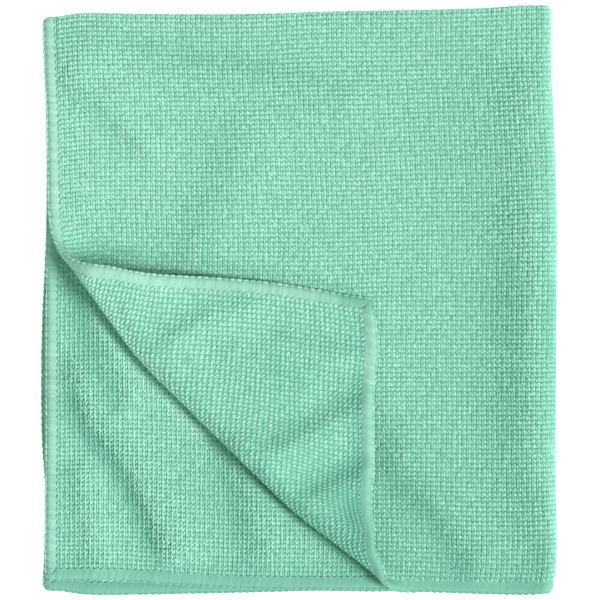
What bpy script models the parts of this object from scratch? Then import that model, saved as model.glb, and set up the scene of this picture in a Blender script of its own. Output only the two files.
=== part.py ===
"""A knitted microfibre cloth, folded in quarters, with one corner of its top layer turned back.

The cloth is one closed sheet. It is cut flat as a thin block with rounded corners and a rounded rim, its hem.
The block is scored along the lines where it will bend, and then every point of it is carried through the
folds, in the order in which hands would make them:

    top fold        the back half goes under the front half, and the fold is the top edge
    right fold      the right half goes under the left half, and the fold is the right edge
    settling        each layer's left and bottom edges come to lie a little apart from those of the others
    turned corner   the lower left corner of the top layer rolls over a diagonal crease onto the same layer
    waves           soft ridges lift the layers, the top one most and the bottom one not at all

Lengths are millimetres until the last step, which makes them metres. Flat places on the cloth are (across, up),
measured from its middle, and "side" is the height of a point above the middle of the sheet, on its outer face.
Folded places are (x, y, z), with the cloth lying on z = 0 and the origin under the middle of its outline.
"""

import math

import bmesh
import bpy
import numpy as np

MM = 0.001

# ---- the sheet -------------------------------------------------------------------------------------------------
WIDTH = 320.0
HEIGHT = 360.0
THICKNESS = 1.6
LAYER_GAP = 0.4
CORNER_RADIUS = 2.4
RIM_ROUNDING = 0.45

# ---- the two folds ---------------------------------------------------------------------------------------------
TOP_RADIUS = (THICKNESS + LAYER_GAP) / 2       # middle of the sheet, round the top fold
RIGHT_RADIUS = 2 * TOP_RADIUS                  # middle of the two layers, round the right fold
STACK_MIDDLE = RIGHT_RADIUS + TOP_RADIUS + THICKNESS / 2
STACK_HEIGHT = 2 * STACK_MIDDLE
TOP_LAYER = STACK_MIDDLE + RIGHT_RADIUS + TOP_RADIUS
TOP_FOLD_STEPS = 8
RIGHT_FOLD_STEPS = 12

# ---- where the folded edges lie --------------------------------------------------------------------------------
# The right fold: how far right it reaches at each height.
RIGHT_FOLD = {
    "y": (-92, -89, -85, -78, -60, -30, 0, 25, 40, 60, 70, 88, 92),
    "x": (78.9, 79.4, 80.1, 80.5, 80.3, 80.3, 80.5, 80.6, 80.2, 79.4, 78.9, 78.8, 78.8),
}
# The top fold: how far up it reaches at each place across.
TOP_FOLD = {
    "x": (-80, -75, -68, -60, -50, -10, 12, 40, 60, 73, 80),
    "y": (88.3, 89.0, 89.9, 89.9, 89.7, 89.8, 90.5, 91.0, 91.6, 92.4, 92.3),
}
# The left edges of the top layer, the second layer, and the two below.
LEFT_EDGES = {
    "y": (-91, -80, -60, -45, -25, -5, 10, 22, 32, 47, 62, 75, 88),
    "top": (-79.2, -79.2, -79.2, -79.1, -79.0, -78.9, -78.5, -78.3, -78.8, -79.1, -79.4, -80.0, -80.4),
    "second": (-79.8, -79.8, -79.7, -79.6, -79.6, -79.6, -79.4, -79.3, -79.2, -79.2, -79.4, -79.7, -80.0),
    "lower": (-80.6, -80.0, -79.6, -80.6, -80.9, -80.6, -79.9, -79.4, -79.2, -79.1, -79.3, -79.7, -80.0),
}
# The bottom edges of the same layers.
BOTTOM_EDGES = {
    "x": (-80, -74, -68, -50, -35, -15, 5, 25, 40, 60, 72, 79),
    "top": (-91.3, -91.3, -91.3, -91.3, -91.3, -91.3, -91.2, -91.2, -91.4, -92.0, -92.2, -91.9),
    "second": (-87.9, -87.9, -87.9, -88.3, -89.3, -90.3, -90.6, -90.6, -90.6, -91.0, -91.2, -91.0),
    "lower": (-90.9, -91.2, -92.0, -92.2, -91.9, -91.5, -91.0, -91.2, -90.8, -91.0, -91.2, -91.0),
}

# ---- the turned corner -----------------------------------------------------------------------------------------
CREASE_START = (-76.0, 16.4)
CREASE_END = (22.6, -85.5)
# Along the crease from its start: how far its outer line bulges towards the corner, and the roll's half width.
CREASE = {
    "along": (-12, 3, 12, 25, 40, 65, 90, 112, 128, 142, 156),
    "bulge": (0.2, 0.9, 2.1, 4.0, 5.9, 5.9, 5.2, 4.3, 1.9, 0.0, 0.0),
    "half_width": (9.0, 8.8, 8.4, 7.2, 5.8, 5.0, 4.8, 4.8, 5.2, 5.6, 5.8),
}
ROLL_FLATNESS = 0.8           # the roll's height over its width
FLAP_DRIFT = 0.06             # how far the cloth drifts along the crease for each mm that it is carried round
FLAP_CORNER_FLAT = (-79.2, -91.3)
FLAP_CORNER = (22.3, 0.4)
FLAP_SIDE_HEM = (-0.9938, 0.1106)     # the way from that corner along the turned side hem, for each mm of hem
FLAP_BOTTOM_HEM = (0.004, -1.0)       # and along the turned bottom hem
# How far the two turned hems bow outwards, by the distance from the flap's corner.
FLAP_HEM_BOW = {
    "from_corner": (0, 8, 16, 28, 50, 62, 72, 90),
    "side": (0.2, 0.3, 0.9, 1.5, 1.2, 0.6, 0.2, -1.2),
    "bottom": (0.3, 1.6, 2.0, 0.9, 0.7, 0.0, -0.2, -0.2),
}
HEM_BOW_REACH = 25.0          # how far from the hem its bow is felt
FLAP_STRAIGHTENS = 20.0       # how far past the roll the flap takes up its own directions
FLAP_SETTLES = 27.0           # how far past the roll it has sunk most of the way to the layer under it
FLAP_GAP = 0.5

# ---- soft ridges -----------------------------------------------------------------------------------------------
# Each ridge runs from (x0, y0) to (x1, y1), "width" wide at half its "rise".
RIDGES = {
    "x0": (-71, -46, 78, 0, 25, -72, -50, -17),
    "y0": (77, 40, 75, 60, -55, -6, -22, -72),
    "x1": (-47, -66, 79, -16, 50, -62, -34, -5),
    "y1": (59, 62, -70, 31, -82, -38, -62, -84),
    "width": (18, 14, 16, 20, 22, 12, 15, 14),
    "rise": (1.6, 1.1, 1.3, 1.2, 1.3, 1.2, 1.5, 0.9),
}
# The same on the turned-back flap only.
FLAP_RIDGES = {
    "x0": (-52, -40, -10, -12),
    "y0": (-2, -20, -35, -51),
    "x1": (-12, -12, 14, 14),
    "y1": (-16, -40, -23, -42),
    "width": (13, 12, 11, 10),
    "rise": (1.4, 1.0, 1.2, 1.0),
}

# ---- scoring: spacing of the lines where the flat block may bend -----------------------------------------------
PANEL_SPACING = 20.0
TOP_LAYER_SPACING = 10.0
CREASE_SPACING = 2.0
CREASE_SCORED = (-14.0, 24.0)         # from before the crease's outer line to the far side of the roll


# ---- working out places ----------------------------------------------------------------------------------------
def follow(table, column, along, at):
    """The smooth curve through one column of a table, at places along another."""
    knots = np.asarray(table[along], float)
    values = np.asarray(table[column], float)
    slopes = np.gradient(values, knots)
    at = np.clip(at, knots[0], knots[-1])
    row = np.clip(np.searchsorted(knots, at) - 1, 0, len(knots) - 2)
    span = knots[row + 1] - knots[row]
    part = (at - knots[row]) / span
    rest = 1 - part
    return (values[row] * rest**2 * (1 + 2 * part) + values[row + 1] * part**2 * (1 + 2 * rest)
            + span * part * rest * (slopes[row] * rest - slopes[row + 1] * part))


def ease(amount):
    """0 to 1, smoothly."""
    amount = np.clip(amount, 0, 1)
    return amount * amount * (3 - 2 * amount)


def hairpin(along, height, radius):
    """A point "along" a strip and "height" over its middle, after the strip bends back under itself.

    Gives how far it reaches past the middle of the bend, and its height, which changes sign round the bend."""
    angle = np.clip(along / radius, -math.pi / 2, math.pi / 2)
    straight = np.maximum(np.abs(along) - radius * math.pi / 2, 0)
    return (radius + height) * np.cos(angle) - straight, -(radius + height) * np.sin(angle)


def fold_in_quarters(across, up, side):
    """The two folds. Gives x, y and z, with z from the middle of the stack, and each point's place in the stack:
    "outer" is 1 on the top and bottom layers and 0 on the two between, "over" is 1 on the upper two layers."""
    reach_up, height = hairpin(up, side, TOP_RADIUS)
    reach_right, z = hairpin(across, height, RIGHT_RADIUS)
    outer = (1 - np.sin(np.clip(up / TOP_RADIUS, -math.pi / 2, math.pi / 2))) / 2
    over = (1 - np.sin(np.clip(across / RIGHT_RADIUS, -math.pi / 2, math.pi / 2))) / 2
    return reach_right, reach_up, z, outer, over


def settle_edges(x, y, outer, over):
    """Stretch each layer a little, so that its edges lie where the tables say."""
    left_before = RIGHT_RADIUS * math.pi / 2 - WIDTH / 2
    right_before = RIGHT_RADIUS + TOP_RADIUS + THICKNESS / 2
    bottom_before = TOP_RADIUS * math.pi / 2 - HEIGHT / 2
    top_before = TOP_RADIUS + THICKNESS / 2
    from_right = (right_before - x) / (right_before - left_before)
    from_top = (top_before - y) / (top_before - bottom_before)
    rough_x = 80 - 160 * from_right
    rough_y = 91 - 182 * from_top
    left = blend_layers(LEFT_EDGES, "y", rough_y, outer, over)
    bottom = blend_layers(BOTTOM_EDGES, "x", rough_x, outer, over)
    right = follow(RIGHT_FOLD, "x", "y", rough_y)
    top = follow(TOP_FOLD, "y", "x", rough_x)
    return right + (left - right) * from_right, top + (bottom - top) * from_top


def blend_layers(edges, along, at, outer, over):
    """An edge's place for a point that may be on one layer or on the fold between two."""
    upper = (outer * follow(edges, "top", along, at)
             + (1 - outer) * follow(edges, "second", along, at))
    return over * upper + (1 - over) * follow(edges, "lower", along, at)


def crease_frame():
    """The crease's start, the way along it and the way across it, towards the corner."""
    start = np.array(CREASE_START)
    along = np.array(CREASE_END) - start
    along /= np.linalg.norm(along)
    return start, along, np.array((along[1], -along[0]))


def turn_corner(x, y, side):
    """The roll over the crease, for points of the top layer. Gives x, y, the height over that layer's middle,
    and how far the point belongs to the turned-back flap, 0 to 1."""
    start, way_along, way_across = crease_frame()
    place = np.stack((x, y), axis=-1)
    along = (place - start) @ way_along
    across = (place - start) @ way_across
    bulge = follow(CREASE, "bulge", "along", along)
    half_width = follow(CREASE, "half_width", "along", along)
    half_height = half_width * ROLL_FLATNESS

    roll_start = bulge - THICKNESS / 2 - half_width
    past_start = across - roll_start
    arc = math.pi * (half_width + half_height) / 2
    turn = np.clip(past_start / arc, 0, 1) * math.pi
    past_roll = np.maximum(past_start - arc, 0)
    lean = np.stack((-half_height * np.sin(turn), half_width * np.cos(turn)))
    lean /= np.linalg.norm(lean, axis=0)
    sunk = ease(past_roll / (2 * FLAP_SETTLES))
    height_on_roll = half_height * (1 - np.cos(turn))
    height = height_on_roll + (THICKNESS + FLAP_GAP - 2 * half_height) * sunk + side * lean[1]

    across_roll = roll_start + half_width * np.sin(turn) - past_roll + side * lean[0]
    along_roll = along + FLAP_DRIFT * past_start
    rolled = start + np.outer(along_roll, way_along) + np.outer(across_roll, way_across)
    own_way = ease(past_roll / FLAP_STRAIGHTENS)[:, None]
    turned = np.where((past_start > 0)[:, None], rolled * (1 - own_way) + lay_flap(place) * own_way, place)
    height = np.where(past_start > 0, height, side)
    return turned[:, 0], turned[:, 1], height, ease(past_start / arc - 0.5)


def lay_flap(place):
    """Where the flap's points lie, well past the roll: set out along its two hems, which bow a little."""
    from_side_hem, from_bottom_hem = (place - np.array(FLAP_CORNER_FLAT)).T
    side_bow = (follow(FLAP_HEM_BOW, "side", "from_corner", from_bottom_hem)
                * np.exp(-np.abs(from_side_hem) / HEM_BOW_REACH))
    bottom_bow = (follow(FLAP_HEM_BOW, "bottom", "from_corner", from_side_hem)
                  * np.exp(-np.abs(from_bottom_hem) / HEM_BOW_REACH))
    laid = (np.array(FLAP_CORNER) + np.outer(from_bottom_hem, FLAP_SIDE_HEM)
            + np.outer(from_side_hem, FLAP_BOTTOM_HEM))
    return laid - np.outer(side_bow, FLAP_BOTTOM_HEM) - np.outer(bottom_bow, FLAP_SIDE_HEM)


def ridge_height(ridges, x, y):
    """How far the ridges of a table lift a place."""
    lift = np.zeros_like(x)
    for x0, y0, x1, y1, width, rise in zip(*(ridges[c] for c in ("x0", "y0", "x1", "y1", "width", "rise"))):
        run = np.array((x1 - x0, y1 - y0), float)
        part = np.clip(((x - x0) * run[0] + (y - y0) * run[1]) / (run @ run), 0, 1)
        away = np.hypot(x - x0 - part * run[0], y - y0 - part * run[1])
        lift += rise * np.exp(-math.log(2) * (2 * away / width) ** 2)
    return lift


def fold_cloth(across, up, side):
    """Where each point of the flat cloth comes to lie."""
    x, y, z, outer, over = fold_in_quarters(across, up, side)
    x, y = settle_edges(x, y, outer, over)
    z = z + STACK_MIDDLE
    flap = np.zeros_like(x)
    top = (across < -RIGHT_RADIUS * math.pi / 2) & (up < -TOP_RADIUS * math.pi / 2)
    x[top], y[top], over_top, flap[top] = turn_corner(x[top], y[top], side[top])
    z[top] = TOP_LAYER + over_top
    z += ridge_height(RIDGES, x, y) * np.minimum(z / STACK_HEIGHT, 1) + ridge_height(FLAP_RIDGES, x, y) * flap
    return np.stack((x, y, z), axis=-1)


# ---- making the solid ------------------------------------------------------------------------------------------
def cut_flat_cloth():
    """The flat block, with its corners and rim rounded."""
    bm = bmesh.new()
    bmesh.ops.create_cube(bm, size=1.0)
    bmesh.ops.scale(bm, vec=(WIDTH, HEIGHT, THICKNESS), verts=bm.verts)
    corners = [e for e in bm.edges if abs(e.verts[0].co.z - e.verts[1].co.z) > THICKNESS / 2]
    bmesh.ops.bevel(bm, geom=corners, offset=CORNER_RADIUS, segments=3, profile=0.5, affect="EDGES")
    rim = [e for e in bm.edges if abs(e.verts[0].co.z - e.verts[1].co.z) < THICKNESS / 2]
    bmesh.ops.bevel(bm, geom=rim, offset=RIM_ROUNDING, segments=1, profile=0.5, affect="EDGES")
    return bm


def score(bm, place, way, inside=None):
    """Divide the faces along a line through a flat place, at right angles to "way"."""
    faces = [f for f in bm.faces if inside is None or inside(f.calc_center_median())]
    edges = {e for f in faces for e in f.edges}
    verts = {v for f in faces for v in f.verts}
    bmesh.ops.bisect_plane(bm, geom=faces + list(edges) + list(verts), dist=1e-5,
                           plane_co=(*place, 0), plane_no=(*way, 0))


def on_top_layer(centre):
    return centre.x < -RIGHT_RADIUS * math.pi / 2 and centre.y < -TOP_RADIUS * math.pi / 2


def score_fold_lines(bm):
    """Lines round both folds and across all the layers, and closer ones on the top layer."""
    bend = RIGHT_RADIUS * math.pi / 2
    for across in np.linspace(-bend, bend, RIGHT_FOLD_STEPS + 1):
        score(bm, (across, 0), (1, 0))
    bend = TOP_RADIUS * math.pi / 2
    for up in np.linspace(-bend, bend, TOP_FOLD_STEPS + 1):
        score(bm, (0, up), (0, 1))
    for step in range(1, int(HEIGHT / 2 / PANEL_SPACING) + 1):
        for line in (-step * PANEL_SPACING, step * PANEL_SPACING):
            score(bm, (line, 0), (1, 0))
            score(bm, (0, line), (0, 1))
    for step in range(int(HEIGHT / 2 / TOP_LAYER_SPACING)):
        line = -(step + 0.5) * TOP_LAYER_SPACING
        score(bm, (line, 0), (1, 0), on_top_layer)
        score(bm, (0, line), (0, 1), on_top_layer)


def score_crease(bm):
    """Close lines along the diagonal roll. On the top layer the flat cloth is the folded one, moved."""
    start, _, way_across = crease_frame()
    flat_start = start - np.array(FLAP_CORNER_FLAT) - np.array((WIDTH / 2, HEIGHT / 2))
    for offset in np.arange(CREASE_SCORED[0], CREASE_SCORED[1] + CREASE_SPACING / 2, CREASE_SPACING):
        score(bm, flat_start + offset * way_across, way_across, on_top_layer)


def make_cloth(material, collection):
    bm = cut_flat_cloth()
    score_fold_lines(bm)
    score_crease(bm)
    bmesh.ops.triangulate(bm, faces=bm.faces)
    flat = np.array([v.co for v in bm.verts])
    for vert, place in zip(bm.verts, fold_cloth(*flat.T)):
        vert.co = place * MM
    mesh = bpy.data.meshes.new("cloth")
    bm.to_mesh(mesh)
    bm.free()
    mesh.materials.append(material)
    mesh.shade_smooth()
    cloth = bpy.data.objects.new("cloth", mesh)
    collection.objects.link(cloth)
    return cloth


def make_knit_material():
    material = bpy.data.materials.new("knit")
    material.use_nodes = True
    shader = material.node_tree.nodes["Principled BSDF"]
    shader.inputs["Base Color"].default_value = (0.27, 0.62, 0.46, 1)
    shader.inputs["Roughness"].default_value = 0.85
    shader.inputs["Metallic"].default_value = 0.0
    return material


def main():
    for old in list(bpy.data.objects):
        bpy.data.objects.remove(old)
    collection = bpy.data.collections.new("microfibre_cloth")
    bpy.context.scene.collection.children.link(collection)
    make_cloth(make_knit_material(), collection)


main()
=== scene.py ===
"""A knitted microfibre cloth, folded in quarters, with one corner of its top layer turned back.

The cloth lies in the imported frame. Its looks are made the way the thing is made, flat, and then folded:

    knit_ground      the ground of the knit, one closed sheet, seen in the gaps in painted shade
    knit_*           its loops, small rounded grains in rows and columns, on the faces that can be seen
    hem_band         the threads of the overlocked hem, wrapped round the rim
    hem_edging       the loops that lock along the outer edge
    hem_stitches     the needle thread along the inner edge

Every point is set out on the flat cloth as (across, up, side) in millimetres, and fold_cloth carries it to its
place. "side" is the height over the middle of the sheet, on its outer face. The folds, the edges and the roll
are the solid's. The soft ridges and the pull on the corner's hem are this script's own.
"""

import math

import bpy
import numpy as np
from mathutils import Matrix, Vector


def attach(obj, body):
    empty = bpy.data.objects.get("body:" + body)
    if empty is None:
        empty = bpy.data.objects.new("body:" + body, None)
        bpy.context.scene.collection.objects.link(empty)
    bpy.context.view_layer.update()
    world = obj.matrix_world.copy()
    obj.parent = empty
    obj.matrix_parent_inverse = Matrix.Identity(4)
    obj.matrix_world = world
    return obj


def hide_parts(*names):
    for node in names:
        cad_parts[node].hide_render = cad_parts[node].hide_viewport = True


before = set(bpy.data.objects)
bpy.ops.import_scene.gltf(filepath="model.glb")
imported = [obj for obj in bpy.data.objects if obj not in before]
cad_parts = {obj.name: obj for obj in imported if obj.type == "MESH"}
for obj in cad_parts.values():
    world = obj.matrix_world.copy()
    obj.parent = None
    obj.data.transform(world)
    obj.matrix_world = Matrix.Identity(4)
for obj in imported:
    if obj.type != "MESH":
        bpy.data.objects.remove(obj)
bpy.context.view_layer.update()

MM = 0.001

# ---- the sheet and its two folds, as in the solid --------------------------------------------------------------
WIDTH = 320.0
HEIGHT = 360.0
THICKNESS = 1.6
LAYER_GAP = 0.4
CORNER_RADIUS = 2.4
TOP_RADIUS = (THICKNESS + LAYER_GAP) / 2
RIGHT_RADIUS = 2 * TOP_RADIUS
STACK_MIDDLE = RIGHT_RADIUS + TOP_RADIUS + THICKNESS / 2
STACK_HEIGHT = 2 * STACK_MIDDLE
TOP_LAYER = STACK_MIDDLE + RIGHT_RADIUS + TOP_RADIUS

# ---- where the folded edges lie --------------------------------------------------------------------------------
ROUGH_REACH = (80, 91)        # about how far the folded cloth reaches from its middle, to look up its edges by
RIGHT_FOLD = {
    "y": (-92, -89, -85, -78, -60, -30, 0, 25, 40, 60, 70, 88, 92),
    "x": (78.9, 79.4, 80.1, 80.5, 80.3, 80.3, 80.5, 80.6, 80.2, 79.4, 78.9, 78.8, 78.8),
}
TOP_FOLD = {
    "x": (-80, -75, -68, -60, -50, -10, 12, 40, 60, 73, 80),
    "y": (88.3, 89.0, 89.9, 89.9, 89.7, 89.8, 90.5, 91.0, 91.6, 92.4, 92.3),
}
LEFT_EDGES = {
    "y": (-91, -80, -60, -45, -25, -5, 10, 22, 32, 47, 62, 75, 88),
    "top": (-79.2, -79.2, -79.2, -79.1, -79.0, -78.9, -78.5, -78.3, -78.8, -79.1, -79.4, -80.0, -80.4),
    "second": (-79.8, -79.8, -79.7, -79.6, -79.6, -79.6, -79.4, -79.3, -79.2, -79.2, -79.4, -79.7, -80.0),
    "lower": (-80.6, -80.0, -79.6, -80.6, -80.9, -80.6, -79.9, -79.4, -79.2, -79.1, -79.3, -79.7, -80.0),
}
BOTTOM_EDGES = {
    "x": (-80, -74, -68, -50, -35, -15, 5, 25, 40, 60, 72, 79),
    "top": (-91.3, -91.3, -91.3, -91.3, -91.3, -91.3, -91.2, -91.2, -91.4, -92.0, -92.2, -91.9),
    "second": (-87.9, -87.9, -87.9, -88.3, -89.3, -90.3, -90.6, -90.6, -90.6, -91.0, -91.2, -91.0),
    "lower": (-90.9, -91.2, -92.0, -92.2, -91.9, -91.5, -91.0, -91.2, -90.8, -91.0, -91.2, -91.0),
}

# ---- the turned corner -----------------------------------------------------------------------------------------
CREASE_START = (-76.0, 16.4)
CREASE_END = (22.6, -85.5)
# Along the crease: how far its outer line bulges towards the corner, and the roll's half width.
CREASE = {
    "along": (-12, 3, 12, 25, 40, 65, 90, 112, 128, 142, 156),
    "bulge": (0.2, 0.9, 2.1, 4.0, 5.9, 5.9, 5.2, 4.3, 1.9, 0.0, 0.0),
    "half_width": (9.0, 8.8, 8.4, 7.2, 5.8, 5.0, 4.8, 4.8, 5.2, 5.6, 5.8),
}
ROLL_FLATNESS = 0.8           # the roll's height over its width
FLAP_DRIFT = 0.06             # how far the cloth drifts along the crease for each mm that it is carried round
FLAP_CORNER_FLAT = (-79.2, -91.3)
FLAP_CORNER = (22.3, 0.4)
FLAP_SIDE_HEM = (-0.9938, 0.1106)      # the way from that corner along the turned side hem
FLAP_BOTTOM_HEM = (0.004, -1.0)        # and along the turned bottom hem
# How far the two turned hems bow outwards, by the distance from the flap's corner.
FLAP_HEM_BOW = {
    "from_corner": (0, 8, 16, 28, 50, 62, 72, 90),
    "side": (0.2, 0.3, 0.9, 1.5, 1.2, 0.6, 0.2, -1.2),
    "bottom": (0.3, 1.6, 2.0, 0.9, 0.7, 0.0, -0.2, -0.2),
}
HEM_BOW_REACH = 25.0          # how far from the hem its bow is felt
# How far the lower end of the turned bottom hem is pulled to the left.
HEM_END_PULL = {
    "y": (-92, -86, -81, -78, -75, -72, -68),
    "left": (0.0, 0.0, 4.0, 3.8, 1.9, 0.3, 0.0),
}
FLAP_STRAIGHTENS = 20.0       # how far past the roll the flap takes up its own directions
FLAP_SETTLES = 27.0           # how far past the roll it has sunk most of the way to the layer under it
FLAP_GAP = 0.5                # the gap left between them

# ---- soft ridges -----------------------------------------------------------------------------------------------
# Each row: the points along a crest, the widths at half height to its left and right, its rise (a trough's is
# negative), and how much painted shade (below 0) or painted light (above 0) lies there. A row with no rise only
# paints that shade or light, in troughs and creases, beside the turned corner and along the rims.
RIDGES = (
    (((70, 64), (71, 31), (72, -16), (72, -44), (76, -66), (81, -89)), 13.8, 18.8, 2.4, 0.0),
    (((72, 25), (72, -16), (73, -41)), 12.5, 12.5, 1.0, 0.0),
    (((74, 63), (75, -63)), 40.7, 18.8, 1.2, 0.0),
    (((66, 9), (67, -16), (67, -41), (70, -63), (75, -81)), 8.8, 8.8, 0.0, -1.2),
    (((59, 0), (58, -47)), 10.6, 10.6, 0.0, -0.6),
    (((32, -52), (41, -61), (55, -80)), 18.8, 8.8, 2.8, 0.0),
    (((32, -60), (38, -66), (50, -83)), 8.1, 8.1, 0.0, -1.7),
    (((28, -41), (28, -86)), 8.1, 8.1, 0.0, -1.2),
    (((41, -59), (56, -84)), 34.4, 34.4, 0.0, -1.5),
    (((-66, 80), (-39, 72), (-17, 70), (14, 63)), 8.1, 18.8, 1.8, 0.0),
    (((-67, 85), (-41, 77), (-19, 75), (13, 67)), 8.1, 8.1, 0.0, -1.3),
    (((-71, 68), (-61, 61), (-49, 48)), 12.5, 4.4, 1.8, 0.0),
    (((-74, 64), (-64, 57), (-54, 45)), 4.1, 4.1, 0.0, -1.0),
    (((-16, 50), (-22, 35), (-30, 19)), 18.8, 13.8, 1.5, 0.0),
    (((-21, 47), (-27, 35), (-34, 20)), 9.4, 9.4, 0.0, -0.5),
    (((-63, 69), (-61, 31)), 37.6, 37.6, 0.0, 1.3),
    (((-72, 16), (-55, 14)), 4.7, 4.7, 0.0, -3.0),
    (((-68, 6), (-61, -11), (-53, -30)), 7.5, 6.9, 3.0, 0.8),
    (((-72, 3), (-66, -14), (-58, -33)), 6.3, 6.3, 0.0, -3.2),
    (((-69, -26), (-65, -37), (-57, -47), (-51, -56), (-46, -66), (-41, -77)), 15.7, 6.9, 5.2, 0.5),
    (((-72, -32), (-69, -39), (-62, -47), (-56, -56), (-51, -66), (-47, -77)), 5.9, 5.9, 0.0, -3.4),
    (((-68, -55), (-64, -81)), 10.6, 7.5, 2.6, 0.8),
    (((-73, -55), (-70, -81)), 6.3, 6.3, 0.0, -0.8),
    (((-18, -50), (-12, -77)), 15.7, 9.4, 3.4, 0.3),
    (((-23, -52), (-17, -77)), 8.8, 8.8, 0.0, -1.5),
    (((-75, -86), (22, -86)), 8.1, 8.1, 0.0, -2.1),
    (((27, -86), (80, -86)), 10.6, 10.6, 0.0, -1.1),
    (((-80, -91), (24, -91)), 4.4, 4.4, 0.0, -3.4),
    (((29, -91), (78, -91)), 3.8, 3.8, 0.0, -2.4),
    (((-63, 14), (-37, 12)), 4.1, 4.1, 0.0, -1.9),
    (((-31, 11), (-9, 8), (16, 3)), 4.1, 4.1, 0.0, -1.5),
    (((-37, -53), (0, -81)), 28.2, 28.2, 0.0, -1.0),
    (((78, 88), (80, 0), (81, -89)), 5.6, 5.6, 0.0, -3.2),
    (((79, 3), (80, -41)), 4.4, 4.4, 0.0, -3.0),
    (((49, 72), (49, -31)), 25.0, 25.0, 0.0, -0.8),
    (((-12, -54), (2, -67), (16, -81)), 6.9, 6.9, 0.0, -4.0),
    (((-63, -4), (-41, -31), (-31, -41)), 4.4, 4.4, 0.0, 3.5),
)
# The same for the turned corner: its soft ridges, and the painted shade and painted light on it.
FLAP_RIDGES = (
    (((-61, 5), (-42, 5)), 10.6, 10.6, 0.4, 1.0),
    (((-43, -15), (-30, -6), (-17, -3)), 5.6, 12.5, 1.5, 0.0),
    (((-44, -11), (-31, -2), (-19, 1)), 5.6, 5.6, 0.0, -1.2),
    (((-5, -13), (5, -17), (16, -18)), 5.0, 10.6, 1.3, 0.0),
    (((-5, -10), (5, -13), (16, -14)), 4.4, 4.4, 0.0, -1.2),
    (((-20, -18), (-12, -24), (-1, -27)), 5.6, 10.6, 1.2, 0.0),
    (((-20, -14), (-11, -20), (-1, -23)), 5.6, 5.6, 0.0, -0.9),
    (((-10, -50), (2, -43), (19, -34)), 6.3, 12.5, 2.2, 0.0),
    (((-12, -46), (0, -39), (13, -32)), 6.3, 6.3, 0.0, -1.6),
    (((1, -64), (19, -55)), 5.6, 10.0, 2.0, 0.0),
    (((0, -60), (9, -56), (18, -51)), 5.6, 5.6, 0.0, -1.6),
    (((21, -27), (21, -47), (20, -69), (22, -83)), 6.3, 8.1, 1.4, 0.0),
    (((18, -25), (18, -47), (17, -69), (19, -81)), 4.4, 4.4, 0.0, -1.2),
    (((12, -63), (19, -81)), 13.8, 13.8, 0.0, -3.0),
    (((16, -63), (19, -81)), 4.1, 4.1, 0.0, -2.6),
    (((14, 1), (22, -1)), 4.4, 4.4, -0.7, -4.0),
    (((19, -6), (19, -47), (19, -69), (23, -84)), 3.1, 3.1, 0.0, -1.3),
    (((-3, -25), (9, -75)), 34.4, 34.4, 0.0, -1.3),
)
BOTTOM_RIM = -84.0            # the lower two layers only take the painted shade below this line, and in full this far below it
BOTTOM_RIM_EASE = 5.0         # and in full this far below it

# ---- the knit --------------------------------------------------------------------------------------------------
OUTER_SPACING = (1.58, 1.462)          # from column to column, and from row to row
CORNER_SPACING = (1.51, 1.515)
SECOND_SPACING = (1.505, 1.435)
GROUND = 0.40                 # half the thickness of the knit's ground
GROUND_INSET = 1.2            # the ground ends this far inside the rim, within the hem
SEEN_STEP = 1.6               # its points' spacing before the folds,
HIDDEN_STEP = 3.2             # and past them, where little of it is seen
LOOP_TOP = 0.84               # how high the loops stand over the middle of the sheet
LOOP_FOOT = 0.28
FIBRE_RUN = 0.6               # fibres run along their yarn, so their unevenness is drawn out along it
WANDER = 0.22                 # how far columns and rows wander from straight lines
WANDER_SIZES = (35, 30)       # and the size of the columns' and the rows' waves
STRAY = 0.05                  # how far each stitch strays by itself
SWAY = 0.07                   # how far the stitches lean one way or the other, in radians
SWAY_SIZE = 12
SWELL = 0.05                  # how much longer and thinner the grains are in some places
SWELL_SIZE = 14
TURN_SPREAD = 0.12            # each grain's own unevenness: its turn in radians, its size and its height
SIZE_SPREAD = 0.08
HEIGHT_SPREAD = 0.10
HEIGHT_LIMITS = (0.75, 1.15)
STITCH_TONE = 0.2             # how much whole stitches differ in tone, and single grains
GRAIN_TONE = 0.6
GRAIN_RINGS = ((1.0, 0.0), (0.86, 0.76))         # each ring's size and height, as parts of the grain's
SEEN_SIDES = 5                # sides of a grain on the faces seen most, and on the underside
UNDER_SIDES = 4
UPPER_FROM = -HEIGHT / 4.3    # the front's loops are two pieces, which meet here
PAST_TOP_FOLD = 1.0           # how far past the top fold the outer face has loops
DEEP_UNDER_CORNER = 9.0       # from here inwards the turned corner hides the top layer's loops
SECOND_FROM_CREASE = -16.0    # and from this far behind the crease the second layer has loops
CORNER_FROM_ROLL = -3.0       # the corner's loops start this far before its roll
SEEDS = {"outer": 11, "corner": 12, "second": 14, "hem_band": 41, "hem_edging": 42, "hem_stitches": 43}

# The grains of one stitch: their places in it, the degrees that each turns from the rows, half its length and half
# its width, and its height as a part of the loops'. The corner and the second layer show the knit's inner face.
OUTER_STITCH = {
    "across": (-0.42, 0.20),
    "up": (-0.04, 0.05),
    "turn": (88, -64),
    "long": (1.03, 0.87),
    "wide": (0.42, 0.61),
    "tall": (0.74, 1.0),
}
UNDER_STITCH = {"across": (0.0,), "up": (0.0,), "turn": (-50,), "long": (0.90,), "wide": (0.60,), "tall": (1.0,)}
SECOND_STITCH = {
    "across": (0.0, -0.74),
    "up": (0.0, 0.0),
    "turn": (72, 90),
    "long": (1.14, 0.80),
    "wide": (0.48, 0.36),
    "tall": (0.92, 0.60),
}
CORNER_STITCH = {
    "across": (0.0, 0.0),
    "up": (0.0, 0.757),
    "turn": (30, 0),
    "long": (0.92, 0.92),
    "wide": (0.63, 0.26),
    "tall": (0.88, 0.43),
}

# ---- the hem ---------------------------------------------------------------------------------------------------
HEM_WIDTH = 3.8
HEM_OVERLAP = 0.1             # how far the loops reach under the hem
STITCH = 2.1                  # the length of one stitch along the hem
RIM_LENGTH = 2 * (WIDTH + HEIGHT) - (8 - 2 * math.pi) * CORNER_RADIUS
STITCHES = round(RIM_LENGTH / STITCH)
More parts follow.
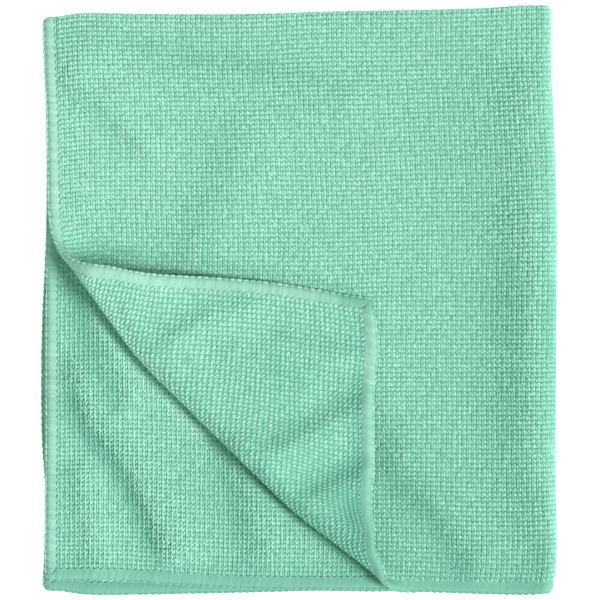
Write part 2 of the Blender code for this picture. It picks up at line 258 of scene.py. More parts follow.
# Half of the hem's section: distances inwards from the outer edge, and heights over the middle of the sheet.
HEM_SECTION = {
    "inward": (4.0, 3.4, 2.5, 1.7, 1.05, 0.55, 0.0),
    "height": (0.42, 0.60, 0.86, 0.98, 0.88, 0.50, 0.0),
}
HEM_LEAN = 0.20               # how far a thread runs along the hem, for each mm inwards
THREADS = 3                   # threads side by side in each stitch
THREAD_STEPS = 3              # points along the hem for each thread, the first in the groove beside it
STITCH_GROOVE = 0.19          # the grooves' depths between stitches and between threads, as parts of the height
THREAD_GROOVE = 0.07
GROOVE_SPREAD = 0.02
THREAD_TONE = 0.6             # how much the threads differ in tone
GROOVE_INSET = 1.2            # how far a groove draws the outer edge inwards, for each part of depth
OUTER_EDGE = 0.6              # what lies less than this far inwards belongs to the outer edge
GROOVE_SHADE = 3              # how much more painted shade the grooves get than their depth
# The links along the outer edge, and the stitches along the needle line.
LINK = {
    "half_length": 1.20,
    "radius": 0.44,
    "inward": 0.14,           # how far inside the rim its middle is, and how much further its ends are
    "curve": 0.10,
    "climb": 0.18,            # how much higher its end lies than its middle
    "tone": 0.8,
    "end_shade": 0.8,
}
LINK_AROUND = 8               # points round a link, and rings along it
LINK_RINGS = 5
LINK_SPREAD = 0.07            # how much the links differ in size
NEEDLE = {"half_length": 0.80, "half_width": 0.32, "foot": 0.45, "tall": 0.5, "lift": (0.3, 0.7)}
NEEDLE_SIDES = 6
NEEDLE_RINGS = ((1.0, 0.0), (0.8, 0.7))

# ---- the yarns -------------------------------------------------------------------------------------------------
# Painted shade at the foot and in the gaps between loops ("deep"), and the colours on top where it is dark and
# where it is light. "unevenness" is the tone's weight.
KNIT_YARN = {
    "deep": (0.11, 0.37, 0.26),
    "middle": (0.17, 0.48, 0.35),
    "light": (0.44, 0.81, 0.65),
    "roughness": 0.9,
    "fibre_scale": 3.4,
    "unevenness": 0.10,
}
HEM_YARN = {
    "deep": (0.08, 0.30, 0.20),
    "middle": (0.17, 0.43, 0.32),
    "light": (0.36, 0.66, 0.53),
    "roughness": 0.75,
    "fibre_scale": 4.5,
    "unevenness": 0.20,
}
SPECULAR = 0.15
SHEEN = 0.1
SHEEN_ROUGHNESS = 0.4
FIBRE_CONTRAST = 2.7
FIBRE_DETAIL = 2.0
PATCH_CONTRAST = 0.1
PATCH_SCALE = 0.05
PATCH_DETAIL = 3.0
LIFT_CONTRAST = 2.4           # how quickly the painted shade at the yarn's foot gives way to its colour on top
LIFT_START = 0.15
BUMP_STRENGTH = 0.5
BUMP_DEPTH = 0.15

# ---- the floor, the light and the camera -----------------------------------------------------------------------
FLOOR_REACH = 3.0             # in metres
FLOOR_DROP = 0.02             # the floor lies this far under the cloth, so that their faces don't meet
PAPER = (0.9, 0.9, 0.9, 1)
PAPER_GLOW = 0.8              # keeps the paper white
ROOM_LIGHT = 0.5
ROOM_COLOUR = (0.84, 1.0, 0.95, 1)
SOFTBOX_FROM = (0.88, -0.32, 1.13)
SOFTBOX_ANGLE = 19
SOFTBOX_STRENGTH = 3.4
SOFTBOX_COLOUR = (1.12, 1.0, 1.04)
PICTURE_WIDTH = 187.8         # what the picture spans at the height of the top layer
CAMERA_HEIGHT = 6.0           # in metres


# ---- folding, as in the solid ----------------------------------------------------------------------------------
def follow(table, column, along, at):
    """The smooth curve through one column of a table, at places along another."""
    knots = np.asarray(table[along], float)
    values = np.asarray(table[column], float)
    slopes = np.gradient(values, knots)
    at = np.clip(at, knots[0], knots[-1])
    row = np.clip(np.searchsorted(knots, at) - 1, 0, len(knots) - 2)
    span = knots[row + 1] - knots[row]
    part = (at - knots[row]) / span
    rest = 1 - part
    return (values[row] * rest**2 * (1 + 2 * part) + values[row + 1] * part**2 * (1 + 2 * rest)
            + span * part * rest * (slopes[row] * rest - slopes[row + 1] * part))


def ease(amount):
    """0 to 1, smoothly."""
    amount = np.clip(amount, 0, 1)
    return amount * amount * (3 - 2 * amount)


def hairpin(along, height, radius):
    """A point "along" a strip and "height" over its middle, after the strip bends back under itself."""
    angle = np.clip(along / radius, -math.pi / 2, math.pi / 2)
    straight = np.maximum(np.abs(along) - radius * math.pi / 2, 0)
    return (radius + height) * np.cos(angle) - straight, -(radius + height) * np.sin(angle)


def fold_in_quarters(across, up, side):
    """The two folds. "outer" is 1 on the top and bottom layers, "over" is 1 on the upper two layers."""
    reach_up, height = hairpin(up, side, TOP_RADIUS)
    reach_right, z = hairpin(across, height, RIGHT_RADIUS)
    outer = (1 - np.sin(np.clip(up / TOP_RADIUS, -math.pi / 2, math.pi / 2))) / 2
    over = (1 - np.sin(np.clip(across / RIGHT_RADIUS, -math.pi / 2, math.pi / 2))) / 2
    return reach_right, reach_up, z, outer, over


def blend_layers(edges, along, at, outer, over):
    """An edge's place for a point that may be on one layer or on the fold between two."""
    upper = (outer * follow(edges, "top", along, at)
             + (1 - outer) * follow(edges, "second", along, at))
    return over * upper + (1 - over) * follow(edges, "lower", along, at)


def settle_edges(x, y, outer, over):
    """Stretch each layer a little, so that its edges lie where the tables say."""
    left_before = RIGHT_RADIUS * math.pi / 2 - WIDTH / 2
    right_before = RIGHT_RADIUS + TOP_RADIUS + THICKNESS / 2
    bottom_before = TOP_RADIUS * math.pi / 2 - HEIGHT / 2
    top_before = TOP_RADIUS + THICKNESS / 2
    from_right = (right_before - x) / (right_before - left_before)
    from_top = (top_before - y) / (top_before - bottom_before)
    rough_x = ROUGH_REACH[0] - 2 * ROUGH_REACH[0] * from_right
    rough_y = ROUGH_REACH[1] - 2 * ROUGH_REACH[1] * from_top
    left = blend_layers(LEFT_EDGES, "y", rough_y, outer, over)
    bottom = blend_layers(BOTTOM_EDGES, "x", rough_x, outer, over)
    right = follow(RIGHT_FOLD, "x", "y", rough_y)
    top = follow(TOP_FOLD, "y", "x", rough_x)
    return right + (left - right) * from_right, top + (bottom - top) * from_top


def crease_frame():
    """The crease's start, the way along it and the way across it, towards the corner."""
    start = np.array(CREASE_START)
    along = np.array(CREASE_END) - start
    along /= np.linalg.norm(along)
    return start, along, np.array((along[1], -along[0]))


def over_crease(x, y):
    """For places on the top layer: how far along the crease, past the start of its roll, and the roll's size."""
    start, way_along, way_across = crease_frame()
    place = np.stack((x, y), axis=-1) - start
    along = place @ way_along
    half_width = follow(CREASE, "half_width", "along", along)
    half_height = half_width * ROLL_FLATNESS
    roll_start = follow(CREASE, "bulge", "along", along) - THICKNESS / 2 - half_width
    return along, place @ way_across - roll_start, roll_start, half_width, half_height


def turn_corner(x, y, side):
    """The roll over the crease. Gives x, y, the height over the top layer's middle, and how far the point
    belongs to the turned-back flap, 0 to 1."""
    start, way_along, way_across = crease_frame()
    along, past_start, roll_start, half_width, half_height = over_crease(x, y)
    arc = math.pi * (half_width + half_height) / 2
    turn = np.clip(past_start / arc, 0, 1) * math.pi
    past_roll = np.maximum(past_start - arc, 0)
    lean = np.stack((-half_height * np.sin(turn), half_width * np.cos(turn)))
    lean /= np.linalg.norm(lean, axis=0)
    sunk = ease(past_roll / (2 * FLAP_SETTLES))
    height_on_roll = half_height * (1 - np.cos(turn))
    height = height_on_roll + (THICKNESS + FLAP_GAP - 2 * half_height) * sunk + side * lean[1]

    across_roll = roll_start + half_width * np.sin(turn) - past_roll + side * lean[0]
    along_roll = along + FLAP_DRIFT * past_start
    rolled = start + np.outer(along_roll, way_along) + np.outer(across_roll, way_across)
    own_way = ease(past_roll / FLAP_STRAIGHTENS)[:, None]
    place = np.stack((x, y), axis=-1)
    turned = np.where((past_start > 0)[:, None], rolled * (1 - own_way) + lay_flap(place) * own_way, place)
    height = np.where(past_start > 0, height, side)
    return turned[:, 0], turned[:, 1], height, ease(past_start / arc - 0.5)


def lay_flap(place):
    """Where the flap's points lie, well past the roll: set out along its two hems, which bow a little."""
    from_side_hem, from_bottom_hem = (place - np.array(FLAP_CORNER_FLAT)).T
    side_bow = (follow(FLAP_HEM_BOW, "side", "from_corner", from_bottom_hem)
                * np.exp(-np.abs(from_side_hem) / HEM_BOW_REACH))
    bottom_bow = (follow(FLAP_HEM_BOW, "bottom", "from_corner", from_side_hem)
                  * np.exp(-np.abs(from_bottom_hem) / HEM_BOW_REACH))
    laid = (np.array(FLAP_CORNER) + np.outer(from_bottom_hem, FLAP_SIDE_HEM)
            + np.outer(from_side_hem, FLAP_BOTTOM_HEM))
    return laid - np.outer(side_bow, FLAP_BOTTOM_HEM) - np.outer(bottom_bow, FLAP_SIDE_HEM)


def ridge_height(ridges, x, y):
    """How far the ridges of a table lift a place, and how much painted shade or painted light they lay on it."""
    lift, tone = np.zeros_like(x), np.zeros_like(x)
    for crest, left, right, rise, shade in ridges:
        nearest, leftward = np.full_like(x, np.inf), np.zeros_like(x)
        for start, end in zip(np.array(crest, float), np.array(crest[1:], float)):
            run = end - start
            part = np.clip(((x - start[0]) * run[0] + (y - start[1]) * run[1]) / (run @ run), 0, 1)
            off_x, off_y = x - start[0] - part * run[0], y - start[1] - part * run[1]
            away = np.hypot(off_x, off_y)
            beside = (run[0] * off_y - run[1] * off_x) / (np.linalg.norm(run) * away + 1e-6)
            leftward = np.where(away < nearest, (1 + beside) / 2, leftward)
            nearest = np.minimum(nearest, away)
        amount = np.exp(-math.log(2) * (2 * nearest / (right + (left - right) * leftward)) ** 2)
        lift += rise * amount
        tone += shade * amount
    return lift, tone


def fold_cloth(across, up, side):
    """Where each point of the flat cloth comes to lie, in millimetres, and the painted shade or light on it."""
    x, y, z, outer, over = fold_in_quarters(across, up, side)
    x, y = settle_edges(x, y, outer, over)
    z = z + STACK_MIDDLE
    flap = np.zeros_like(x)
    top = (across < -RIGHT_RADIUS * math.pi / 2) & (up < -TOP_RADIUS * math.pi / 2)
    x[top], y[top], over_top, flap[top] = turn_corner(x[top], y[top], side[top])
    z[top] = TOP_LAYER + over_top
    x -= flap * follow(HEM_END_PULL, "left", "y", y)
    lift, tone = ridge_height(RIDGES, x, y)
    flap_lift, flap_shade_and_light = ridge_height(FLAP_RIDGES, x, y)
    z += lift * np.minimum(z / STACK_HEIGHT, 1) + flap_lift * flap
    # the ridges' painted shade and light reach the upper two layers, and the lower two only along the bottom rim
    tone = (tone * (1 - flap) + flap_shade_and_light * flap) * np.maximum(over, ease((BOTTOM_RIM - y) / BOTTOM_RIM_EASE))
    return np.stack((x, y, np.maximum(z, 0)), axis=-1), tone


# ---- making meshes ---------------------------------------------------------------------------------------------
def make_piece(name, flat, faces, material, slot, yarn, **values):
    """A mesh from points of the flat cloth and lists of faces. It keeps each point's flat place, its place on its
    yarn and its values."""
    points, painted_shade_and_light = fold_cloth(*flat.T)
    points *= MM
    # each point's tone takes the ridges' painted shade and painted light
    values["tone"] = values["tone"] + painted_shade_and_light
    mesh = bpy.data.meshes.new(name)
    corners = np.concatenate([f.ravel() for f in faces]).astype(np.int32)
    counts = np.concatenate([np.full(len(f), f.shape[1]) for f in faces])
    mesh.vertices.add(len(points))
    mesh.vertices.foreach_set("co", points.ravel())
    mesh.loops.add(len(corners))
    mesh.loops.foreach_set("vertex_index", corners)
    mesh.polygons.add(len(counts))
    mesh.polygons.foreach_set("loop_start", np.concatenate(((0,), np.cumsum(counts)[:-1])).astype(np.int32))
    mesh.update(calc_edges=True)
    for key, value in (("flat", flat), ("yarn", yarn)):
        mesh.attributes.new(key, "FLOAT_VECTOR", "POINT").data.foreach_set("vector", np.ravel(value))
    for key, value in values.items():
        mesh.attributes.new(key, "FLOAT", "POINT").data.foreach_set("value", value)
    mesh.shade_smooth()
    mesh.materials.append(material)
    piece = bpy.data.objects.new(name, mesh)
    bpy.context.scene.collection.objects.link(piece)
    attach(piece, "root")
    return piece


def waves(seed, across, up, size, count=7):
    """Smooth unevenness of about -1 to 1, whose bumps are about "size" across."""
    rng = np.random.default_rng(seed)
    total = np.zeros_like(across)
    ways = rng.uniform(0, math.pi, count)
    lengths = rng.uniform(0.7, 1.5, count) * 2 * size
    starts = rng.uniform(0, 2 * math.pi, count)
    for way, length, start in zip(ways, lengths, starts):
        total += np.sin((across * math.cos(way) + up * math.sin(way)) * 2 * math.pi / length + start)
    return total / math.sqrt(count)


def grain_points(sides, rings, way=1):
    """A rounded grain of size 1: its rings from the foot up, then its tip."""
    ring = np.arange(sides) * 2 * math.pi / sides
    points = [(size * math.cos(a), size * math.sin(a), high) for size, high in rings for a in ring * way]
    return np.array(points + [(0.0, 0.0, 1.0)])


def grain_faces(sides):
    """The faces of such a grain with two rings: the band between them, and the cap."""
    here, after = np.arange(sides), (np.arange(sides) + 1) % sides
    band = np.stack((here, after, after + sides, here + sides), axis=-1)
    cap = np.stack((here + sides, after + sides, np.full(sides, 2 * sides)), axis=-1)
    return band, cap


# ---- the ground ------------------------------------------------------------------------------------------------
def ground_lines(size, before, bend, steps, after):
    """Where the ground's points lie across one fold: up to "before", round the bend, and on from "after"."""
    end = size / 2 - GROUND_INSET
    return np.concatenate((np.arange(-end, before, SEEN_STEP), np.linspace(-bend, bend, steps),
                           np.arange(after, end, HIDDEN_STEP), (end,)))


def make_ground(material):
    """The closed sheet under the loops, finer where it is seen most, all in the painted shade of the gaps."""
    across = ground_lines(WIDTH, before=-4.0, bend=3.4, steps=17, after=5.0)
    up = ground_lines(HEIGHT, before=-2.6, bend=1.8, steps=13, after=3.4)
    grid_across, grid_up = (g.ravel() for g in np.meshgrid(across, up, indexing="ij"))
    skins = [np.stack((grid_across, grid_up, np.full_like(grid_up, side)), axis=-1) for side in (GROUND, -GROUND)]
    index = np.arange(len(grid_up)).reshape(len(across), len(up))
    quads = np.stack((index[:-1, :-1], index[1:, :-1], index[1:, 1:], index[:-1, 1:]), axis=-1).reshape(-1, 4)
    other = len(grid_up)
    rim = np.concatenate((index[:-1, 0], index[-1, :-1], index[:0:-1, -1], index[0, :0:-1]))
    after = np.roll(rim, -1)
    wall = np.stack((rim, rim + other, after + other, after), axis=-1)
    flat = np.concatenate(skins)
    tone = np.zeros(len(flat))
    # the ground has no lift, so all of it takes the painted shade of the gaps between the loops
    return make_piece("knit_ground", flat, [quads, quads[:, ::-1] + other, wall], material, "knit",
                      flat, tone=tone, lift=tone)


# ---- the loops -------------------------------------------------------------------------------------------------
def spread_bend(length, radius, reach):
    """From a length on the outer face to the flat cloth, which is stretched round a bend."""
    half = radius * math.pi / 2
    stretch = reach / radius
    return np.where(np.abs(length) < half * stretch, length / stretch,
                    np.sign(length) * (np.abs(length) - half * stretch + half))


def knit_grid(seed, low, high, spacing):
    """Stitches' places in columns and rows, between two corners, a little uneven."""
    rng = np.random.default_rng(seed)
    columns, rows = (np.arange(math.ceil(a / step), b / step) * step for a, b, step in zip(low, high, spacing))
    across, up = (g.ravel() for g in np.meshgrid(columns, rows, indexing="ij"))
    across = across + WANDER * waves(seed + 1, across, up, WANDER_SIZES[0]) + rng.normal(0, STRAY, len(across))
    up = up + WANDER * waves(seed + 2, across, up, WANDER_SIZES[1]) + rng.normal(0, STRAY, len(up))
    return across, up, rng


def make_loops(name, across, up, face, rng, material, stitch, sides, bent=False):
    """Stitches of a few grains each, as a table says, on the outer face (1) or the inner one (-1)."""
    stitch_tone = rng.normal(0, 1, len(across))
    wave_seed = sides                               # so the underside's waves differ from the front's
    swell = SWELL * waves(wave_seed, across, up, SWELL_SIZE)
    sway = SWAY * waves(wave_seed + 1, across, up, SWAY_SIZE)
    grains = [np.full((len(across), 6), row) for row in zip(*(
        stitch[key] for key in ("across", "up", "turn", "long", "wide", "tall")))]
    along, above, turn, long, wide, tall = np.concatenate(grains).T
    across, up, stitch_tone, swell, sway = (
        np.tile(v, len(grains)) for v in (across, up, stitch_tone, swell, sway))
    count = len(across)
    across = across + along * np.cos(sway) - above * np.sin(sway)
    up = up + along * np.sin(sway) + above * np.cos(sway)
    turn = np.radians(turn) + sway + rng.normal(0, TURN_SPREAD, count)
    long = long * (1 + swell + rng.normal(0, SIZE_SPREAD, count))
    wide = wide * (1 - swell + rng.normal(0, SIZE_SPREAD, count))
    tall = tall * (1 + rng.normal(0, HEIGHT_SPREAD, count)).clip(*HEIGHT_LIMITS)
    local = grain_points(sides, GRAIN_RINGS, face)
    run, sweep = np.outer(long, local[:, 0]), np.outer(wide, local[:, 1])
    points_across = across[:, None] + run * np.cos(turn)[:, None] - sweep * np.sin(turn)[:, None]
    points_up = up[:, None] + run * np.sin(turn)[:, None] + sweep * np.cos(turn)[:, None]
    side = face * (LOOP_FOOT + (LOOP_TOP - LOOP_FOOT) * np.outer(tall, local[:, 2]))
    if bent:
        points_across = spread_bend(points_across, RIGHT_RADIUS, RIGHT_RADIUS + TOP_RADIUS + THICKNESS / 2)
        points_up = spread_bend(points_up, TOP_RADIUS, TOP_RADIUS + THICKNESS / 2)
    flat = np.stack((points_across.ravel(), points_up.ravel(), side.ravel()), axis=-1)
    first = (np.arange(count) * len(local))[:, None, None]
    band, cap = grain_faces(sides)
    faces = [(first + band).reshape(-1, 4), (first + cap).reshape(-1, 3)]
    tone = STITCH_TONE * stitch_tone + GRAIN_TONE * rng.normal(0, 1, count)
    own_fibres = np.broadcast_to(rng.uniform(0, 99, count)[:, None], run.shape)
    yarn = np.stack((FIBRE_RUN * run, sweep, own_fibres), axis=-1)
    # lift is each point's height as a part of its grain's, so the grain's foot takes painted shade
    return make_piece(name, flat, faces, material, "knit", yarn=yarn.reshape(-1, 3),
                      tone=np.repeat(tone, len(local)), lift=np.outer(tall, local[:, 2]).ravel())


def knit_the_faces(material):
    """Loops on the faces that can be seen. Those deep between layers are left out."""
    hem = HEM_WIDTH - HEM_OVERLAP
    pieces = []
    # The outer face: the top layer, the two folds and the underside. Lengths run along that face.
    grow_right = (TOP_RADIUS + THICKNESS / 2) * math.pi / 2
    grow_top = THICKNESS / 2 * math.pi / 2
    low = (-WIDTH / 2 - grow_right + hem, -HEIGHT / 2 - grow_top + hem)
    high = (WIDTH / 2 + grow_right - hem, (TOP_RADIUS + THICKNESS / 2) * math.pi / 2 + PAST_TOP_FOLD)
    across, up, rng = knit_grid(SEEDS["outer"], low, high, OUTER_SPACING)
    flat_across = spread_bend(across, RIGHT_RADIUS, RIGHT_RADIUS + TOP_RADIUS + THICKNESS / 2)
    flat_up = spread_bend(up, TOP_RADIUS, TOP_RADIUS + THICKNESS / 2)
    inside = (np.abs(flat_across) < WIDTH / 2 - hem) & (flat_up > -HEIGHT / 2 + hem)
    under = (flat_across > RIGHT_RADIUS * math.pi / 2) & inside
    x, y, _ = fold_cloth(flat_across, flat_up, np.full_like(across, LOOP_TOP))[0].T
    on_top = (flat_across < -RIGHT_RADIUS * math.pi / 2) & (flat_up < -TOP_RADIUS * math.pi / 2)
    top_line = FLAP_CORNER[1] + (x - FLAP_CORNER[0]) * FLAP_SIDE_HEM[1] / FLAP_SIDE_HEM[0]
    covered = on_top & (x < FLAP_CORNER[0] - DEEP_UNDER_CORNER) & (y < top_line - DEEP_UNDER_CORNER)
    front = inside & ~under & ~covered
    upper = front & (flat_up > UPPER_FROM)
    for name, chosen, stitch, sides in (("knit_front_upper", upper, OUTER_STITCH, SEEN_SIDES),
                                        ("knit_front_lower", front & ~upper, OUTER_STITCH, SEEN_SIDES),
                                        ("knit_underside", under, UNDER_STITCH, UNDER_SIDES)):
        pieces.append(make_loops(name, across[chosen], up[chosen], 1, rng, material, stitch, sides, bent=True))

    # The inner face: the turned corner, and the second layer where the corner no longer covers it.
    start, _, way_across = crease_frame()
    low, high = (-WIDTH / 2 + hem, -HEIGHT / 2 + hem), (-RIGHT_RADIUS * 2, HEIGHT / 2 - hem)
    for name, seed, spacing, stitch in (("knit_corner", SEEDS["corner"], CORNER_SPACING, CORNER_STITCH),
                                        ("knit_second", SEEDS["second"], SECOND_SPACING, SECOND_STITCH)):
        across, up, rng = knit_grid(seed, low, high, spacing)
        if name == "knit_corner":
            _, past_start, *_ = over_crease(across + WIDTH / 2 + FLAP_CORNER_FLAT[0],
                                            up + HEIGHT / 2 + FLAP_CORNER_FLAT[1])
            chosen = (up < 0) & (past_start > CORNER_FROM_ROLL)
        else:
            x, y, _ = fold_cloth(across, up, np.full_like(across, -LOOP_TOP))[0].T
            from_crease = (np.stack((x, y), axis=-1) - start) @ way_across
            chosen = (up > 0) & (from_crease > SECOND_FROM_CREASE)
        pieces.append(make_loops(name, across[chosen], up[chosen], -1, rng, material, stitch, SEEN_SIDES))
    return pieces


# ---- the hem ---------------------------------------------------------------------------------------------------
def along_rim(length):
    """For lengths along the rim: the place, the way inwards, and how far inwards there is room."""
    place = np.zeros((len(length), 2))
    inwards = np.zeros((len(length), 2))
    room = np.zeros(len(length))
    left = np.mod(length, RIM_LENGTH)
    corner = CORNER_RADIUS * math.pi / 2
    for turn in range(4):
        way = np.array((math.cos(turn * math.pi / 2), math.sin(turn * math.pi / 2)))
        inner = np.array((-way[1], way[0]))
        half, other_half = (HEIGHT / 2, WIDTH / 2) if turn % 2 == 0 else (WIDTH / 2, HEIGHT / 2)
        straight = 2 * (other_half - CORNER_RADIUS)
        on = (left >= 0) & (left <= straight)
        place[on] = -inner * half + np.outer(left[on] - straight / 2, way)
        inwards[on] = inner
        room[on] = CORNER_RADIUS + np.minimum(left[on], straight - left[on])
        on = (left > straight) & (left < straight + corner)
        angle = (left[on] - straight) / CORNER_RADIUS
        outwards = np.outer(np.sin(angle), way) - np.outer(np.cos(angle), inner)
        place[on] = -inner * (half - CORNER_RADIUS) + way * straight / 2 + CORNER_RADIUS * outwards
        inwards[on] = -outwards
        room[on] = CORNER_RADIUS
        left = left - straight - corner
    return place, inwards, room


def on_rim(length, inward, side):
    """Flat places from lengths along the rim, distances inwards from it and heights."""
    place, inwards, room = along_rim(length)
    place = place + inwards * np.minimum(inward, room)[:, None]
    return np.stack((place[:, 0], place[:, 1], side), axis=-1)


def make_hem_band(material):
    """Threads wrapped round the rim, side by side."""
    inward = np.array(HEM_SECTION["inward"] + HEM_SECTION["inward"][-2::-1])
    height = np.array(HEM_SECTION["height"] + tuple(-h for h in HEM_SECTION["height"][-2::-1]))
    threads = STITCHES * THREADS
    steps = threads * THREAD_STEPS
    step = np.arange(steps)
    rng = np.random.default_rng(SEEDS["hem_band"])
    length = step * RIM_LENGTH / steps
    groove = np.select([step % (THREADS * THREAD_STEPS) == 0, step % THREAD_STEPS == 0],
                       [STITCH_GROOVE, THREAD_GROOVE], 0.0)
    tone = np.repeat(rng.normal(0, THREAD_TONE, threads), THREAD_STEPS)
    groove = groove + np.repeat(rng.normal(0, GROOVE_SPREAD, threads), THREAD_STEPS)
    shape = (steps, len(inward))
    lengths = length[:, None] + HEM_LEAN * inward * np.sign(height + 1e-9)
    insets = np.broadcast_to(inward, shape) + (groove * GROOVE_INSET)[:, None] * (inward < OUTER_EDGE)
    heights = height * (1 - groove)[:, None]
    flat = on_rim(lengths.ravel(), insets.ravel(), heights.ravel())
    index = np.arange(steps * len(inward)).reshape(shape)
    after = np.roll(index, -1, axis=0)
    quads = np.stack((index[:, :-1], index[:, 1:], after[:, 1:], after[:, :-1]), axis=-1).reshape(-1, 4)
    # painted shade in the grooves between stitches and between threads
    lift = np.broadcast_to(1 - groove[:, None] * GROOVE_SHADE, shape)
    yarn = np.stack((lengths, FIBRE_RUN * np.cumsum(np.ones(shape), axis=1), lengths * 0), axis=-1)
    return make_piece("hem_band", flat, [quads], material, "hem_thread", yarn.reshape(-1, 3),
                      tone=np.repeat(tone, len(inward)), lift=lift.ravel())


def make_hem_edging(material):
    """The loops that lock along the outer edge: rounded links, each leaning over the next."""
    rng = np.random.default_rng(SEEDS["hem_edging"])
    around, rings = LINK_AROUND, LINK_RINGS
    angle = np.arange(around) * 2 * math.pi / around
    polar = (np.arange(rings) + 0.5) * math.pi / rings
    local = [(-math.cos(p), math.sin(p) * math.cos(a), math.sin(p) * math.sin(a)) for p in polar for a in angle]
    local = np.array(local + [(-1, 0, 0), (1, 0, 0)])
    middle = (np.arange(STITCHES) + 0.5) * RIM_LENGTH / STITCHES + rng.normal(0, STRAY, STITCHES)
    lengths = middle[:, None] + LINK["half_length"] * local[:, 0]
    size = LINK["radius"] * (1 + rng.normal(0, LINK_SPREAD, STITCHES))[:, None]
    inward = LINK["inward"] + size * local[:, 1] + LINK["curve"] * np.abs(local[:, 0])
    heights = size * local[:, 2] + LINK["climb"] * local[:, 0]
    flat = on_rim(lengths.ravel(), inward.ravel(), heights.ravel())
    first = (np.arange(STITCHES) * len(local))[:, None, None]
    here = np.arange(around)
    after = (here + 1) % around
    band = np.concatenate([np.stack((here, here + around, after + around, after), axis=-1) + r * around
                           for r in range(rings - 1)])
    start = np.stack((np.full(around, rings * around), here, after), axis=-1)
    end = np.stack((np.full(around, rings * around + 1), after + (rings - 1) * around,
                    here + (rings - 1) * around), axis=-1)
    faces = [(first + band).reshape(-1, 4), (first + start).reshape(-1, 3), (first + end).reshape(-1, 3)]
    tone = np.repeat(rng.normal(LINK["tone"], 1, STITCHES), len(local))
    # painted shade at the links' ends, where they pass under their neighbours
    lift = np.tile(1 - np.abs(local[:, 0]) * LINK["end_shade"], STITCHES)
    yarn = np.stack((FIBRE_RUN * lengths, inward, heights), axis=-1)
    return make_piece("hem_edging", flat, faces, material, "hem_thread", yarn.reshape(-1, 3), tone=tone, lift=lift)


def make_hem_stitches(material):
    """The needle thread, on both faces, along the inner edge of the hem."""
    rng = np.random.default_rng(SEEDS["hem_stitches"])
    local = grain_points(NEEDLE_SIDES, NEEDLE_RINGS)
    band, cap = grain_faces(NEEDLE_SIDES)
    flats, faces, tones, lifts = [], [[], []], [], []
    count = 0
    for face in (1, -1):
        middle = np.arange(STITCHES) * RIM_LENGTH / STITCHES + HEM_LEAN * HEM_WIDTH * face
        lengths = middle[:, None] + NEEDLE["half_length"] * local[:, 0]
        stray = rng.normal(0, STRAY, STITCHES)[:, None]
        inward = HEM_WIDTH + stray + NEEDLE["half_width"] * local[:, 1]
        heights = np.broadcast_to(face * (NEEDLE["foot"] + NEEDLE["tall"] * local[:, 2]), lengths.shape)
        flats.append(on_rim(lengths.ravel(), inward.ravel(), heights.ravel()))
        first = (np.arange(STITCHES) * len(local))[:, None, None] + count
        faces[0].append((first + band[:, ::face]).reshape(-1, 4))
        faces[1].append((first + cap[:, ::face]).reshape(-1, 3))
        tones.append(np.repeat(rng.normal(0, 1, STITCHES), len(local)))
        # painted shade at the foot of each needle stitch
        lifts.append(np.tile(NEEDLE["lift"][0] + NEEDLE["lift"][1] * local[:, 2], STITCHES))
        count += STITCHES * len(local)
    flats = np.concatenate(flats)
    return make_piece("hem_stitches", flats, [np.concatenate(f) for f in faces], material,
                      "hem_thread", flats, tone=np.concatenate(tones), lift=np.concatenate(lifts))


# ---- materials -------------------------------------------------------------------------------------------------
def attribute(nodes, name, output):
    node = nodes.new("ShaderNodeAttribute")
    node.attribute_name = name
    return node.outputs[output]


def noise(nodes, links, vector, scale, detail):
    node = nodes.new("ShaderNodeTexNoise")
    node.inputs["Scale"].default_value = scale
    node.inputs["Detail"].default_value = detail
    links.new(vector, node.inputs["Vector"])
    return node.outputs["Fac"]


def multiply_add(nodes, links, *values, clamp=False):
    node = nodes.new("ShaderNodeMath")
    node.operation = "MULTIPLY_ADD"
    node.use_clamp = clamp
    for socket, value in zip(node.inputs, values):
        if isinstance(value, (int, float)):
            socket.default_value = value
        else:
            links.new(value, socket)
    return node.outputs[0]


def mix_colours(nodes, links, amount, low, high):
    node = nodes.new("ShaderNodeMix")
    node.data_type = "RGBA"
    links.new(amount, node.inputs["Factor"])
    for socket, colour in ((node.inputs[6], low), (node.inputs[7], high)):
        if isinstance(colour, tuple):
            socket.default_value = (*colour, 1)
        else:
            links.new(colour, socket)
    return node.outputs[2]


def cloth_material(name, deep, middle, light, roughness, fibre_scale, unevenness):
    """Yarn: painted shade at its foot and in the gaps, its own colour on top, uneven from loop to loop and along
    its fibres.
    """
    material = bpy.data.materials.new(name)
    material.use_nodes = True
    nodes, links = material.node_tree.nodes, material.node_tree.links
    shader = nodes["Principled BSDF"]
    shader.inputs["Roughness"].default_value = roughness
    shader.inputs["Specular IOR Level"].default_value = SPECULAR
    shader.inputs["Sheen Weight"].default_value = SHEEN
    shader.inputs["Sheen Roughness"].default_value = SHEEN_ROUGHNESS
    tone = attribute(nodes, "tone", "Fac")
    lift = attribute(nodes, "lift", "Fac")
    fibres = noise(nodes, links, attribute(nodes, "yarn", "Vector"), fibre_scale, FIBRE_DETAIL)
    patches = noise(nodes, links, attribute(nodes, "flat", "Vector"), PATCH_SCALE, PATCH_DETAIL)
    half_way = 0.5 - 0.5 * (FIBRE_CONTRAST + PATCH_CONTRAST)        # so that the noises change it both ways
    level = multiply_add(nodes, links, tone, unevenness, half_way)
    level = multiply_add(nodes, links, fibres, FIBRE_CONTRAST, level)
    level = multiply_add(nodes, links, patches, PATCH_CONTRAST, level, clamp=True)
    yarn = mix_colours(nodes, links, level, middle, light)
    # painted shade at the yarn's foot and in the gaps and grooves, where lift is low; its colour on top
    raised = multiply_add(nodes, links, lift, LIFT_CONTRAST, LIFT_START, clamp=True)
    links.new(mix_colours(nodes, links, raised, deep, yarn), shader.inputs["Base Color"])
    bump = nodes.new("ShaderNodeBump")
    bump.inputs["Strength"].default_value = BUMP_STRENGTH
    bump.inputs["Distance"].default_value = BUMP_DEPTH * MM
    links.new(fibres, bump.inputs["Height"])
    links.new(bump.outputs["Normal"], shader.inputs["Normal"])
    return material


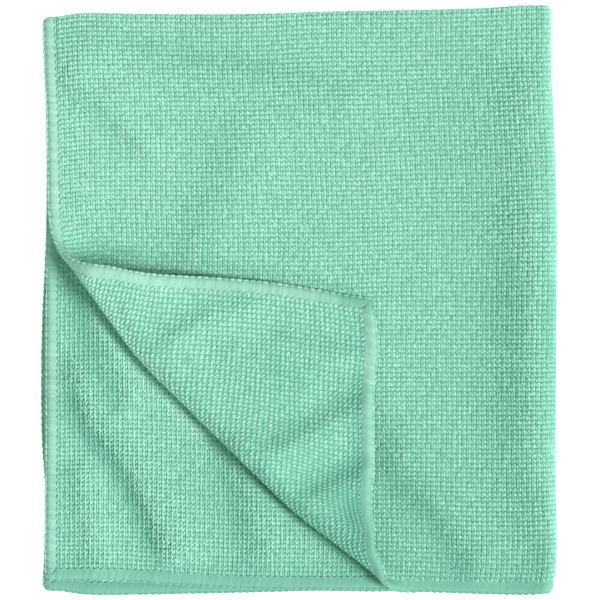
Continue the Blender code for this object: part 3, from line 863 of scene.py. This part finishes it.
# ---- putting it together ---------------------------------------------------------------------------------------
def make_cloth():
    knit = cloth_material("knit_yarn", **KNIT_YARN)
    thread = cloth_material("hem_yarn", **HEM_YARN)
    cloth = make_ground(knit)
    loops = knit_the_faces(knit)
    hem = [make_hem_band(thread), make_hem_edging(thread), make_hem_stitches(thread)]
    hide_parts("cloth")


def make_floor():
    mesh = bpy.data.meshes.new("floor")
    corners = [(x * FLOOR_REACH, y * FLOOR_REACH, 0) for x, y in ((-1, -1), (1, -1), (1, 1), (-1, 1))]
    mesh.from_pydata(corners, [], [(0, 1, 2, 3)])
    material = bpy.data.materials.new("paper")
    material.use_nodes = True
    shader = material.node_tree.nodes["Principled BSDF"]
    shader.inputs["Base Color"].default_value = PAPER
    shader.inputs["Roughness"].default_value = 0.9
    shader.inputs["Emission Color"].default_value = (1, 1, 1, 1)
    shader.inputs["Emission Strength"].default_value = PAPER_GLOW
    mesh.materials.append(material)
    floor = bpy.data.objects.new("floor", mesh)
    floor.location.z = -FLOOR_DROP * MM
    bpy.context.scene.collection.objects.link(floor)


def make_light():
    world = bpy.data.worlds.new("white_room")
    world.use_nodes = True
    world.node_tree.nodes["Background"].inputs["Color"].default_value = ROOM_COLOUR
    world.node_tree.nodes["Background"].inputs["Strength"].default_value = ROOM_LIGHT
    bpy.context.scene.world = world
    lamp = bpy.data.lights.new("softbox", "SUN")
    lamp.angle = math.radians(SOFTBOX_ANGLE)
    lamp.energy = SOFTBOX_STRENGTH
    lamp.color = SOFTBOX_COLOUR
    softbox = bpy.data.objects.new("softbox", lamp)
    softbox.rotation_euler = Vector(SOFTBOX_FROM).to_track_quat("Z", "Y").to_euler()
    bpy.context.scene.collection.objects.link(softbox)


def make_camera():
    """Straight above, and far enough away for nearly parallel lines."""
    camera = bpy.data.cameras.new("camera")
    camera.sensor_width = 36.0
    camera.lens = camera.sensor_width * (CAMERA_HEIGHT - TOP_LAYER * MM) / (PICTURE_WIDTH * MM)
    camera.clip_start, camera.clip_end = 0.1, 20.0
    place = bpy.data.objects.new("camera", camera)
    place.location = (0, 0, CAMERA_HEIGHT)
    bpy.context.scene.collection.objects.link(place)
    bpy.context.scene.camera = place


make_cloth()
make_floor()
make_light()
make_camera()
bpy.context.scene.view_settings.view_transform = "Standard"
